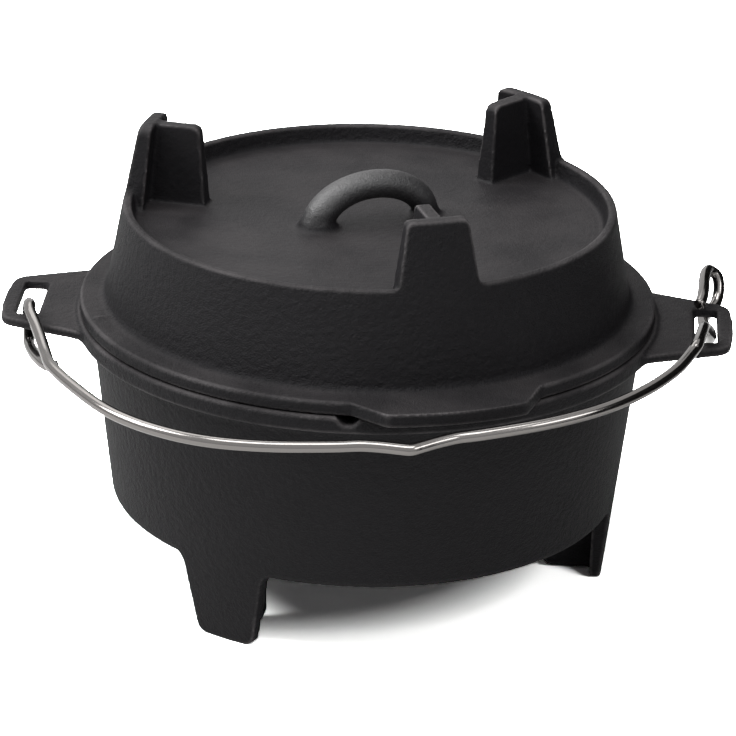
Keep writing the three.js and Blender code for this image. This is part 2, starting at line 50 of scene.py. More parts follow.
voxel = {
    "fine": 0.95,  # grid on which a casting's edges and corners are softened
    "rough": 3.0,
    "smoothing": 5,
    "mostFaces": 190000,
}

# Shape helpers


# Points of an outline given as corners (x, y, round), with the rounds limited by the edges beside them.
def roundedOutline(corners, steps=6):
    count = len(corners)
    spots = [Vector((c[0], c[1])) for c in corners]
    wanted = []
    sides = []
    for i in range(count):
        before = (spots[i - 1] - spots[i]).normalized()
        after = (spots[(i + 1) % count] - spots[i]).normalized()
        half = math.acos(max(-1.0, min(1.0, before.dot(after)))) / 2
        sides.append((before, after, half))
        rounding = corners[i][2] if len(corners[i]) > 2 else 0
        wanted.append(rounding / math.tan(half) if half > 1e-6 else 0)
    points = []
    for i in range(count):
        before, after, half = sides[i]
        room = 1.0
        for j in (i - 1, (i + 1) % count):
            both = wanted[i] + wanted[j]
            if both > 0:
                room = min(room, (spots[i] - spots[j]).length / both)
        reach = wanted[i] * room
        if reach <= 0 or half > math.pi / 2 - 1e-6:
            points.append(spots[i])
            continue
        radius = reach * math.tan(half)
        centre = spots[i] + (before + after).normalized() * (radius / math.sin(half))
        start = spots[i] + before * reach - centre
        end = spots[i] + after * reach - centre
        sweep = math.atan2(start.x * end.y - start.y * end.x, start.dot(end))
        parts = max(1, round(abs(sweep) / (math.pi / 2) * steps))
        for k in range(parts + 1):
            points.append(centre + Matrix.Rotation(sweep * k / parts, 2) @ start)
    return [(p.x, p.y) for i, p in enumerate(points) if (p - points[i - 1]).length > 1e-4]


# An object from points in millimetres, with its faces turned outwards.
def newObject(name, vertices, faces):
    mesh = bpy.data.meshes.new(name)
    mesh.from_pydata([tuple(c * mm for c in v) for v in vertices], [], faces)
    obj = bpy.data.objects.new(name, mesh)
    bpy.context.scene.collection.objects.link(obj)
    build = bmesh.new()
    build.from_mesh(mesh)
    bmesh.ops.recalc_face_normals(build, faces=build.faces)
    build.to_mesh(mesh)
    build.free()
    return obj


# A solid turned about the Z axis from (radius, height) points.
def turned(name, profile, faces=240):
    vertices = []
    rings = []
    for radius, height in profile:
        if radius < 1e-6:
            rings.append([len(vertices)])
            vertices.append((0, 0, height))
            continue
        rings.append(list(range(len(vertices), len(vertices) + faces)))
        for k in range(faces):
            angle = 2 * math.pi * k / faces
            vertices.append((radius * math.cos(angle), radius * math.sin(angle), height))
    quads = []
    pairs = list(zip(rings, rings[1:]))
    if len(rings[0]) > 1:
        pairs.append((rings[-1], rings[0]))
    for low, high in pairs:
        for k in range(faces):
            n = (k + 1) % faces
            corners = [low[k % len(low)], low[n % len(low)], high[n % len(high)], high[k % len(high)]]
            quads.append(list(dict.fromkeys(corners)))
    quads = [q for q in quads if len(q) > 2]
    return newObject(name, vertices, quads)


# A closed solid between two rings of as many points.
def lofted(name, low, high):
    count = len(low)
    faces = [list(range(count))[::-1], list(range(count, 2 * count))]
    for k in range(count):
        n = (k + 1) % count
        faces.append([k, n, count + n, count + k])
    return newObject(name, low + high, faces)


# An outline pushed from low to high along its third axis, then placed by a matrix.
def prism(name, outline, low, high, place):
    return lofted(name, *([place @ Vector((x, y, w)) for x, y in outline] for w in (low, high)))


# Places an outline in (across, up) so that its thickness runs outwards at an angle in degrees.
def radialAcross(angle):
    turn = Matrix.Rotation(math.radians(angle), 4, "Z")
    return turn @ Matrix(((0, 0, 1, 0), (1, 0, 0, 0), (0, 1, 0, 0), (0, 0, 0, 1)))


# Places an outline in (radius, up) so that its thickness runs across at an angle in degrees.
def radialAlong(angle):
    turn = Matrix.Rotation(math.radians(angle), 4, "Z")
    return turn @ Matrix(((1, 0, 0, 0), (0, 0, -1, 0), (0, 1, 0, 0), (0, 0, 0, 1)))


# The object with its modifiers made real, and no modifier left.
def baked(obj):
    graph = bpy.context.evaluated_depsgraph_get()
    mesh = bpy.data.meshes.new_from_object(obj.evaluated_get(graph))
    mesh.name = obj.name
    obj.modifiers.clear()
    old = obj.data
    obj.data = mesh
    if old.users == 0:
        bpy.data.meshes.remove(old)
    return obj


# Cuts the target with the tool, or keeps what they share; the tool is used up.
def combine(target, tool, operation):
    step = target.modifiers.new("combine", "BOOLEAN")
    step.object = tool
    step.operation = operation
    step.solver = "MANIFOLD"
    baked(target)
    bpy.data.objects.remove(tool)
    return target


# One object that holds the meshes of several, which are used up.
def merged(name, objects):
    build = bmesh.new()
    for obj in objects:
        build.from_mesh(obj.data)
        bpy.data.objects.remove(obj)
    mesh = bpy.data.meshes.new(name)
    build.to_mesh(mesh)
    build.free()
    obj = bpy.data.objects.new(name, mesh)
    bpy.context.scene.collection.objects.link(obj)
    return obj


# Joins overlapping solids into one skin, with the soft edges and blends of a sand casting.
def castTogether(name, objects):
    obj = merged(name, objects)
    obj.data.transform(Matrix.Translation(potAxis))  # from the pot's own axis into the frame
    remesh = obj.modifiers.new("skin", "REMESH")
    remesh.mode = "VOXEL"
    remesh.voxel_size = voxel["fine"] * mm
    remesh.use_smooth_shade = True
    soften = obj.modifiers.new("soften", "SMOOTH")
    soften.factor = 0.5
    soften.iterations = voxel["smoothing"]
    baked(obj)
    triangles = sum(len(f.vertices) - 2 for f in obj.data.polygons)
    if triangles > voxel["mostFaces"]:
        reduce = obj.modifiers.new("reduce", "DECIMATE")
        reduce.ratio = voxel["mostFaces"] / triangles
        baked(obj)
    print("casting", name, triangles, "->", len(obj.data.polygons))
    return obj


# A node with its settings and its inputs, which are values, sockets, or nodes with one live output.
def addNode(tree, kind, inputs=None, **settings):
    node = tree.nodes.new(kind)
    for key, value in settings.items():
        setattr(node, key, value)
    for key, value in (inputs or {}).items():
        if isinstance(value, bpy.types.Node):
            value = next(s for s in value.outputs if s.enabled)
        if isinstance(value, bpy.types.NodeSocket):
            tree.links.new(value, node.inputs[key])
        else:
            node.inputs[key].default_value = value
    return node


# A geometry node tree with named inputs, and its group input node.
def newTree(name, **kinds):
    tree = bpy.data.node_groups.new(name, "GeometryNodeTree")
    for key, kind in {"Geometry": "Geometry", **kinds}.items():
        tree.interface.new_socket(key, in_out="INPUT", socket_type="NodeSocket" + kind)
    tree.interface.new_socket("Geometry", in_out="OUTPUT", socket_type="NodeSocketGeometry")
    return tree, addNode(tree, "NodeGroupInput")


# Ends a tree in real, painted mesh and runs it on an object with the given input values.
def runTree(tree, shape, material, obj, values):
    real = addNode(tree, "GeometryNodeRealizeInstances", {"Geometry": shape})
    paint = addNode(tree, "GeometryNodeSetMaterial", {"Geometry": real, "Material": material})
    addNode(tree, "NodeGroupOutput", {0: paint})
    step = obj.modifiers.new(tree.name, "NODES")
    step.node_group = tree
    sockets = {s.name: s.identifier for s in tree.interface.items_tree if s.in_out == "INPUT"}
    for key, value in values.items():
        step[sockets[key]] = value


# Repeats an object about the Z axis at evenly spaced angles, starting from where it is.
def ringOf(name, obj, angles):
    tree, start = newTree(name, Count="Int", Step="Float")
    single = addNode(tree, "GeometryNodeGeometryToInstance", {"Geometry": start.outputs["Geometry"]})
    copies = addNode(tree, "GeometryNodeDuplicateElements", {
        "Geometry": single, "Amount": start.outputs["Count"]}, domain="INSTANCE")
    turn = addNode(tree, "ShaderNodeMath", {
        0: copies.outputs["Duplicate Index"], 1: start.outputs["Step"]}, operation="MULTIPLY")
    spin = addNode(tree, "ShaderNodeCombineXYZ", {"Z": turn})
    rotate = addNode(tree, "GeometryNodeRotateInstances", {
        "Instances": copies.outputs["Geometry"], "Rotation": spin,
        "Pivot Point": (0.0, 0.0, 0.0), "Local Space": False})
    runTree(tree, rotate, castIron, obj, {
        "Count": len(angles), "Step": math.radians(angles[1] - angles[0])})
    return baked(obj)


# Materials


# Linear RGBA from an sRGB hex code.
def linear(code):
    values = [int(code[k:k + 2], 16) / 255 for k in (1, 3, 5)]
    return tuple(v / 12.92 if v <= 0.04045 else ((v + 0.055) / 1.055) ** 2.4 for v in values) + (1.0,)


ironLook = {
    "color": "#111012",  # seasoned black iron
    "dust": "#1a191b",
    "paintedTopLight": "#2c2a2b",  # painted top light: a lighter tone on faces that face up
    "topLightFacing": (0.6, 0.95),  # how far up a face looks where the painted top light starts and where it is full
    "topLightPatches": (0.38, 0.62),
    "topLightShare": (0.4, 1.0),  # share of the painted top light between its thin and thick patches
    "paintedEdgeHighlight": "#5c595a",  # painted highlight along sharp edges
    "edgeSharpness": (0.51, 0.56),
    "edgeHighlightPatches": (0.4, 0.6),
    "edgeHighlightShare": (0.35, 1.0),
    "sheen": 0.13,  # a dull coat that mirrors little
    "wornSheen": 0.95,  # the loop handle is rubbed smooth by use
    "roughWall": 0.55,  # at its smoothest; patches and turning marks add to it
    "roughTray": 0.44,
    "roughPatches": 0.1,
    "roughRings": 0.12,
    "patches": 35.714,  # width of uneven patches of seasoning and dust
    "grain": 0.8,  # sand grains, drawn coarser than they are so that they show
    "lumps": 3.2,  # slow unevenness of the mould
    "grainDepth": 0.6,
    "lumpDepth": 1.0,
    "trayGrain": 0.4,  # share of the wall's relief on the machined tray and the handle
    "trayRadius": 124.5,
    "trayLevel": 191.5,
    "trayFade": 2.0,  # over which the wall's look turns into the tray's, inwards
    "levelFade": 1.0,  # and upwards
    "ringWidth": 1.3,  # turning marks on the tray
    "handleReach": 52.0,
    "handleFade": 4.0,
    "handleHeights": (4.0, 14.0),  # above the tray, between which the handle gets its rubbed look
}


# Where the floor of the tray and the loop handle are, as shares from 0 to 1, and the distance to the axis.
def ironPlaces(tree, look, place):
    fromAxis = addNode(tree, "ShaderNodeVectorMath", {0: place, 1: tuple(potAxis)}, operation="SUBTRACT")
    parts = addNode(tree, "ShaderNodeSeparateXYZ", {0: fromAxis})
    height = parts.outputs["Z"]
    flat = addNode(tree, "ShaderNodeCombineXYZ", {"X": parts.outputs["X"], "Y": parts.outputs["Y"]})
    radius = addNode(tree, "ShaderNodeVectorMath", {0: flat}, operation="LENGTH")
    masks = []
    for reach, fade, low, high in (
            (look["trayRadius"], look["trayFade"], 0.0, look["levelFade"]),
            (look["handleReach"], look["handleFade"], *look["handleHeights"])):
        within = addNode(tree, "ShaderNodeMapRange", {
            "Value": radius, "From Min": reach * mm, "From Max": (reach - fade) * mm})
        above = addNode(tree, "ShaderNodeMapRange", {
            "Value": height, "From Min": (look["trayLevel"] + low) * mm,
            "From Max": (look["trayLevel"] + high) * mm})
        masks.append(addNode(tree, "ShaderNodeMath", {0: within, 1: above}, operation="MULTIPLY"))
    return masks[0], masks[1], radius


# Sand grains on slow lumps, flatter on the tray and the handle.
def ironRelief(tree, look, place, tray, worn):
    smooth = addNode(tree, "ShaderNodeMath", {0: tray, 1: worn}, operation="MAXIMUM")
    grain = addNode(tree, "ShaderNodeTexNoise", {
        "Vector": place, "Scale": 1 / (look["grain"] * mm), "Detail": 3.0, "Roughness": 0.6})
    lumps = addNode(tree, "ShaderNodeTexNoise", {
        "Vector": place, "Scale": 1 / (look["lumps"] * mm), "Detail": 2.0})
    relief = addNode(tree, "ShaderNodeMath", {
        0: grain.outputs[0], 1: look["grainDepth"] / look["lumpDepth"], 2: lumps.outputs[0]},
        operation="MULTIPLY_ADD")
    share = addNode(tree, "ShaderNodeMapRange", {
        "Value": smooth, "To Min": 1.0, "To Max": look["trayGrain"]})
    return addNode(tree, "ShaderNodeBump", {
        "Height": relief, "Distance": look["lumpDepth"] * mm, "Strength": share})


# Roughness of wall and tray, with patches everywhere and turning marks on the tray.
def ironRoughness(tree, look, patches, tray, radius):
    rings = addNode(tree, "ShaderNodeTexNoise", {
        "W": radius, "Scale": 1 / (look["ringWidth"] * mm), "Detail": 2.0}, noise_dimensions="1D")
    marks = addNode(tree, "ShaderNodeMath", {0: rings.outputs[0], 1: tray}, operation="MULTIPLY")
    rough = addNode(tree, "ShaderNodeMapRange", {
        "Value": tray, "To Min": look["roughWall"], "To Max": look["roughTray"]})
    for pattern, depth in ((patches, look["roughPatches"]), (marks, look["roughRings"])):
        rough = addNode(tree, "ShaderNodeMath", {0: pattern, 1: depth, 2: rough}, operation="MULTIPLY_ADD")
    return rough


# Black seasoning in patches with dust, painted top light on faces that face up, and painted highlights along
# sharp edges.
def ironColor(tree, look, patches):
    bent = addNode(tree, "ShaderNodeNewGeometry")
    facing = addNode(tree, "ShaderNodeSeparateXYZ", {0: bent.outputs["Normal"]})
    color = addNode(tree, "ShaderNodeMix", {
        "Factor": patches, "A": linear(look["color"]), "B": linear(look["dust"])}, data_type="RGBA")
    for value, span, spots, depth, tone in (
            # painted top light: lighter on faces that face up, in patches
            (facing.outputs["Z"], "topLightFacing", "topLightPatches", "topLightShare", "paintedTopLight"),
            # painted highlight: lighter along sharp edges, in patches
            (bent.outputs["Pointiness"], "edgeSharpness", "edgeHighlightPatches", "edgeHighlightShare", "paintedEdgeHighlight")):
        place = addNode(tree, "ShaderNodeMapRange", {
            "Value": value, "From Min": look[span][0], "From Max": look[span][1]})
        amount = addNode(tree, "ShaderNodeMapRange", {
            "Value": patches, "From Min": look[spots][0], "From Max": look[spots][1],
            "To Min": look[depth][0], "To Max": look[depth][1]})
        share = addNode(tree, "ShaderNodeMath", {0: place, 1: amount}, operation="MULTIPLY")
        color = addNode(tree, "ShaderNodeMix", {
            "Factor": share, "A": color, "B": linear(look[tone])}, data_type="RGBA")
    return color


# Sand-cast iron with baked-on seasoning: matt, black, grainy; finer on the floor of the tray.
def makeCastIron(look):
    material = bpy.data.materials.new("castIron")
    material.use_nodes = True
    tree = material.node_tree
    tree.nodes.clear()
    place = addNode(tree, "ShaderNodeTexCoord").outputs["Object"]
    tray, worn, radius = ironPlaces(tree, look, place)
    patches = addNode(tree, "ShaderNodeTexNoise", {
        "Vector": place, "Scale": 1 / (look["patches"] * mm), "Detail": 4.0}).outputs[0]
    sheen = addNode(tree, "ShaderNodeMapRange", {
        "Value": worn, "To Min": look["sheen"], "To Max": look["wornSheen"]})
    shader = addNode(tree, "ShaderNodeBsdfPrincipled", {
        "Base Color": ironColor(tree, look, patches),
        "Roughness": ironRoughness(tree, look, patches, tray, radius),
        "Specular IOR Level": sheen,
        "Normal": ironRelief(tree, look, place, tray, worn)})
    addNode(tree, "ShaderNodeOutputMaterial", {"Surface": shader})
    return material


wireLook = {
    "color": "#7a7775",
    "roughness": (0.09, 0.21),
    "unevenness": 12.5,  # length over which drawn wire gets brighter and duller
}


# Bright drawn stainless wire, a little uneven in its polish.
def makeWire(look):
    material = bpy.data.materials.new("stainlessWire")
    material.use_nodes = True
    tree = material.node_tree
    tree.nodes.clear()
    place = addNode(tree, "ShaderNodeTexCoord").outputs["Object"]
    marks = addNode(tree, "ShaderNodeTexNoise", {"Vector": place, "Scale": 1 / (look["unevenness"] * mm)})
    rough = addNode(tree, "ShaderNodeMapRange", {
        "Value": marks.outputs[0], "To Min": look["roughness"][0], "To Max": look["roughness"][1]})
    shader = addNode(tree, "ShaderNodeBsdfPrincipled", {
        "Base Color": linear(look["color"]), "Metallic": 1.0, "Roughness": rough})
    addNode(tree, "ShaderNodeOutputMaterial", {"Surface": shader})
    return material


castIron = makeCastIron(ironLook)
stainlessWire = makeWire(wireLook)
print("materials made")

# Pot
pot = {
    "stand": 41.6,
    "height": 102.8,
    "footRadius": 129.7,
    "mouthRadius": 146.8,
    "wall": 5.5,
    "floor": 6.0,
    "bottomRound": 5.5,
    "innerRound": 12.0,
    "rimOut": 6.9,
    "band": 9.0,
    "bandFillet": 6.4,
    "bandRound": 1.0,
    "mouthChamfer": 1.2,
}
rimTop = pot["stand"] + pot["height"]
bandLow = rimTop - pot["band"]
rimRadius = pot["mouthRadius"] + pot["rimOut"]


# Radius of the pot's wall at a height.
def potCone(z):
    return pot["footRadius"] + (pot["mouthRadius"] - pot["footRadius"]) * z / rimTop


potFloorTop = pot["stand"] + pot["floor"]
potBody = turned("potBody", roundedOutline([
    (0, pot["stand"]),
    (potCone(pot["stand"]), pot["stand"], pot["bottomRound"]),
    (potCone(bandLow), bandLow, pot["bandFillet"]),
    (rimRadius, bandLow, pot["bandRound"]),
    (rimRadius, rimTop, pot["bandRound"]),
    (potCone(rimTop) - pot["wall"] + pot["mouthChamfer"], rimTop),
    (potCone(rimTop) - pot["wall"], rimTop - pot["mouthChamfer"]),
    (potCone(potFloorTop) - pot["wall"], potFloorTop, pot["innerRound"]),
    (0, potFloorTop),
], steps=8))

# The notch in the rim through which a probe's lead leaves the closed oven
notch = {"width": 12.8, "footWidth": 5.0, "depth": 4.3, "footRound": 1.2}
notchTool = prism("notchTool", roundedOutline([
    (-notch["footWidth"] / 2, rimTop - notch["depth"], notch["footRound"]),
    (notch["footWidth"] / 2, rimTop - notch["depth"], notch["footRound"]),
    (notch["width"] / 2, rimTop),
    (notch["width"] / 2, rimTop + overrun),
    (-notch["width"] / 2, rimTop + overrun),
    (-notch["width"] / 2, rimTop),
]), potCone(bandLow) - pot["wall"] - overrun, rimRadius + overrun, radialAcross(-90))
combine(potBody, notchTool, "DIFFERENCE")

ear = {
    "length": 40.3,
    "drop": 2.3,
    "thickness": 5.2,
    "endHalf": 29.8,
    "rootHalf": 48.0,
    "rootSink": 1.5,
    "endRound": 11.0,
    "bulge": 2.6,
    "rootFillet": 18.0,
    "holeInset": 18.0,
    "holeWidth": 13.6,
    "holeHalf": 23.9,
    "holeRound": 3.0,
    "holeDraft": 0.8,  # the hole narrows downwards by this much a side
    "innerDraft": 1.6,  # and by this much more beside the pot
    "draftOverrun": 0.6,  # share of the draft that the cutting shape adds past either face
}


# A flat ear with a drafted hand hole, on the right for side 1 and on the left for side -1.
def makeEar(side):
    top = rimTop - ear["drop"]
    low = top - ear["thickness"]
    reach = rimRadius + ear["length"]
    rootAngle = math.asin(ear["rootHalf"] / rimRadius)
    anchorAngle = rootAngle + 2 * math.asin(ear["rootFillet"] / 2 / rimRadius)
    inside = rimRadius - ear["rootSink"]
    rootX = rimRadius * math.cos(rootAngle)
    anchorX = inside * math.cos(anchorAngle)
    anchorY = inside * math.sin(anchorAngle)
    turn = Matrix.Rotation(0 if side > 0 else math.pi, 4, "Z")
    plate = prism(f"ear{side}", roundedOutline([
        (anchorX - pot["rimOut"], -anchorY),
        (anchorX, -anchorY),
        (rootX, -ear["rootHalf"], ear["rootFillet"]),
        (reach - ear["bulge"], -ear["endHalf"], ear["endRound"]),
        (reach, 0, reach / 2),
        (reach - ear["bulge"], ear["endHalf"], ear["endRound"]),
        (rootX, ear["rootHalf"], ear["rootFillet"]),
        (anchorX, anchorY),
        (anchorX - pot["rimOut"], anchorY),
    ], steps=12), low, top, turn)
    middle = rimRadius + ear["holeInset"] + ear["holeWidth"] / 2
    rings = []
    for height, share in (
            (low - overrun, 1 + ear["draftOverrun"]),
            (top + overrun, -ear["draftOverrun"])):
        half = ear["holeWidth"] / 2 - ear["holeDraft"] * share
        length = ear["holeHalf"] - ear["holeDraft"] * share
        near = middle - half + ear["innerDraft"] * share
        far = middle + half
        outline = roundedOutline([(x, y, ear["holeRound"]) for x, y in (
            (near, -length), (far, -length), (far, length), (near, length))])
        rings.append([turn @ Vector((x, y, height)) for x, y in outline])
    return combine(plate, lofted("earHole", *rings), "DIFFERENCE")


potLeg = {
    "footHalf": 17.0,
    "rootHalf": 25.4,
    "rootFillet": 11.0,
    "rootDrop": 1.5,  # the root spreads this far below the seam with the body
    "rootSink": 0.5,
    "footRound": 5.5,
    "plateFoot": 6.0,
    "plateRoot": 8.5,
    "plateTop": 4.0,
    "footOverrun": 2.0,
    "topOverrun": 1.0,
    "webThickness": 9.0,
    "webFoot": 26.7,
    "webRoot": 28.0,
    "webLift": 0.8,
    "webRound": 6.0,
    "webOverlap": 2.0,
    "webSink": 2.5,
    "angles": [0, 120, 240],
}


# Three legs, each a plate that carries on the line of the wall with a web behind it.
def makePotLegs():
    angle = potLeg["angles"][0]
    seam = pot["stand"] + pot["bottomRound"]
    spread = seam - potLeg["rootDrop"]
    wide = potLeg["rootHalf"] + 2 * potLeg["rootFillet"]
    plate = prism("legPlate", roundedOutline([
        (-potLeg["footHalf"], 0, potLeg["footRound"]),
        (potLeg["footHalf"], 0, potLeg["footRound"]),
        (potLeg["rootHalf"], spread, potLeg["rootFillet"]),
        (wide, spread),
        (wide, seam + potLeg["rootSink"]),
        (-wide, seam + potLeg["rootSink"]),
        (-wide, spread),
        (-potLeg["rootHalf"], spread, potLeg["rootFillet"]),
    ]), pot["footRadius"] / 2, rimRadius, radialAcross(angle))
    low = -potLeg["footOverrun"]
    top = seam + potLeg["topOverrun"]
    shell = turned("legShell", [
        (potCone(low) - potLeg["plateFoot"], low),
        (potCone(low), low),
        (potCone(top), top),
        (potCone(top) - potLeg["plateTop"], top),
        (potCone(pot["stand"]) - potLeg["plateRoot"], pot["stand"] + potLeg["topOverrun"]),
    ])
    combine(plate, shell, "INTERSECT")
    inner = pot["footRadius"] - potLeg["plateFoot"]
    webTop = pot["stand"] + potLeg["webSink"]
    web = prism("legWeb", roundedOutline([
        (inner - potLeg["webFoot"], potLeg["webLift"], potLeg["webRound"]),
        (inner + potLeg["webOverlap"], potLeg["webLift"]),
        (inner + potLeg["webOverlap"], webTop),
        (inner - potLeg["webRoot"], webTop),
    ]), -potLeg["webThickness"] / 2, potLeg["webThickness"] / 2, radialAlong(angle))
    return ringOf("potLegRing", merged("potLeg", [plate, web]), potLeg["angles"])


potCasting = castTogether("potCasting", [potBody, makeEar(1), makeEar(-1), makePotLegs()])
print("pot made")

# Lid
lid = {
    "gap": 0.3,
    "flangeOut": 13.2,
    "flange": 7.3,
    "flangeTopRound": 1.2,
    "flangeLowRound": 0.8,
    "footRadius": 138.8,
    "lipRadius": 129.4,
    "lipHeight": 51.1,
    "lipWidth": 4.4,
    "lipRound": 1.0,
    "recess": 10.1,
    "draft": 1.8,
    "recessFillet": 3.0,
    "wall": 5.5,
    "ceiling": 6.0,
    "wallFillet": 4.5,
    "innerFillet": 10.0,
    "ring": 5.0,
    "ringClearance": 1.5,
    "ringThickness": 4.4,
    "ringRound": 0.8,
}
flangeLow = rimTop + lid["gap"]
flangeTop = flangeLow + lid["flange"]
lipTop = flangeTop + lid["lipHeight"]
trayFloor = lipTop - lid["recess"]
flangeRadius = lid["footRadius"] + lid["flangeOut"]
ringRadius = pot["mouthRadius"] - pot["wall"] - lid["ringClearance"]


# Radius of the lid's wall at a height.
def lidCone(z):
    return lid["footRadius"] + (lid["lipRadius"] - lid["footRadius"]) * (z - flangeTop) / lid["lipHeight"]


lipInner = lid["lipRadius"] - lid["lipWidth"]
ceiling = trayFloor - lid["ceiling"]
lidBody = turned("lidBody", roundedOutline([
    (0, ceiling),
    (lidCone(ceiling) - lid["wall"], ceiling, lid["innerFillet"]),
    (lidCone(flangeTop) - lid["wall"], flangeTop, lid["wallFillet"]),
    (ringRadius - lid["ringThickness"], flangeLow),
    (ringRadius - lid["ringThickness"], flangeLow - lid["ring"], lid["ringRound"]),
    (ringRadius, flangeLow - lid["ring"], lid["ringRound"]),
    (ringRadius, flangeLow),
    (flangeRadius, flangeLow, lid["flangeLowRound"]),
    (flangeRadius, flangeTop, lid["flangeTopRound"]),
    (lid["footRadius"], flangeTop, lid["wallFillet"]),
    (lid["lipRadius"], lipTop, lid["lipRound"]),
    (lipInner, lipTop, lid["lipRound"]),
    (lipInner - lid["draft"], trayFloor, lid["recessFillet"]),
    (0, trayFloor),
], steps=8))

tab = {"out": 15.0, "endHalf": 36.6, "rootHalf": 50.0, "cornerRound": 4.5, "angle": -70.5, "steps": 24}


# The lifting tab, a wider stretch of the flange with an end that follows a circle.
def makeTab():
    reach = flangeRadius + tab["out"]
    rootX = math.sqrt(flangeRadius ** 2 - tab["rootHalf"] ** 2)
    endX = math.sqrt(reach ** 2 - tab["endHalf"] ** 2)
    half = math.asin(tab["endHalf"] / reach)
    edge = [half * (2 * k / tab["steps"] - 1) for k in range(1, tab["steps"])]
    outline = roundedOutline([
        (lid["footRadius"], -tab["rootHalf"]),
        (rootX, -tab["rootHalf"]),
        (endX, -tab["endHalf"], tab["cornerRound"]),
        *[(reach * math.cos(a), reach * math.sin(a)) for a in edge],
        (endX, tab["endHalf"], tab["cornerRound"]),
        (rootX, tab["rootHalf"]),
        (lid["footRadius"], tab["rootHalf"]),
    ])
    return prism("tab", outline, flangeLow, flangeTop, Matrix.Rotation(math.radians(tab["angle"]), 4, "Z"))


lidLeg = {
    "height": 33.4,
    "topHalf": 16.0,
    "rootHalf": 22.9,
    "cornerRound": 4.0,
    "rootFillet": 13.0,
    "innerFillet": 4.0,
    "rootSink": 1.5,
    "lipSink": 0.6,
    "floorSink": 0.2,
    "seamOverlap": 0.5,
    "plateTop": 7.0,
    "plateRoot": 12.0,
    "webTopThickness": 7.5,
    "webRootThickness": 11.5,
    "webTop": 24.0,
    "webRoot": 31.0,
    "webDrop": 0.8,
    "webRound": 4.0,
    "webOverlap": 2.0,
    "webSink": 2.5,
    "angles": [-70.5, 49.5, 169.5],
}
lidTop = lipTop + lidLeg["height"]


# The front of a leg, with a flare of its own at the root.
def flaredPlate(base, fillet):
    wide = lidLeg["rootHalf"] + 2 * lidLeg["rootFillet"]
    return roundedOutline([
        (-wide, base - lidLeg["rootSink"]),
        (wide, base - lidLeg["rootSink"]),
        (wide, base),
        (lidLeg["rootHalf"], base, fillet),
        (lidLeg["topHalf"], lidTop, lidLeg["cornerRound"]),
        (-lidLeg["topHalf"], lidTop, lidLeg["cornerRound"]),
        (-lidLeg["rootHalf"], base, fillet),
        (-wide, base),
    ])


# Three T-shaped legs, flush with the wall of the lid.
def makeLidLegs():
    angle = lidLeg["angles"][0]
    seam = lipInner + lid["lipWidth"] / 2
    base = trayFloor - lidLeg["webSink"]
    top = lidTop + overrun
    pieces = []
    for outline, low, high in (
            (flaredPlate(lipTop - lidLeg["lipSink"], lidLeg["rootFillet"]), seam, flangeRadius),
            (flaredPlate(trayFloor - lidLeg["floorSink"], lidLeg["innerFillet"]),
             lipInner / 2, seam + lidLeg["seamOverlap"])):
        plate = prism("legPlate", outline, low, high, radialAcross(angle))
        shell = turned("legShell", [
            (lidCone(base) - lidLeg["plateRoot"], base),
            (lidCone(base), base),
            (lidCone(top), top),
            (lidCone(top) - lidLeg["plateTop"], top),
        ])
        pieces.append(combine(plate, shell, "INTERSECT"))
    innerTop = lidCone(lidTop) - lidLeg["plateTop"]
    innerRoot = lidCone(trayFloor) - lidLeg["plateRoot"]
    height = lidTop - lidLeg["webDrop"]
    # Drawn 1 mm thick, then thickened towards its root
    web = prism("legWeb", roundedOutline([
        (innerRoot - lidLeg["webRoot"], base),
        (innerTop + lidLeg["webOverlap"], base),
        (innerTop + lidLeg["webOverlap"], height),
        (innerTop - lidLeg["webTop"], height, lidLeg["webRound"]),
    ]), -0.5, 0.5, radialAlong(0))
    for vertex in web.data.vertices:
        share = (vertex.co.z / mm - trayFloor) / (height - trayFloor)
        vertex.co.y *= lidLeg["webRootThickness"] * (1 - share) + lidLeg["webTopThickness"] * share
    web.data.transform(Matrix.Rotation(math.radians(angle), 4, "Z"))
    return ringOf("lidLegRing", merged("lidLeg", [*pieces, web]), lidLeg["angles"])


handle = {
    "bar": 7.6,  # radius at the crown, then at the left and the right foot
    "leftBar": 9.2,
    "rightBar": 6.7,
    "halfSpan": 30.9,
    "offset": 1.3,
    "rise": 20.2,
    "flare": 3.2,
    "footHeight": 5.0,
    "angle": 27.4,
    "steps": 48,
    "sides": 32,
    "footSides": 40,
}


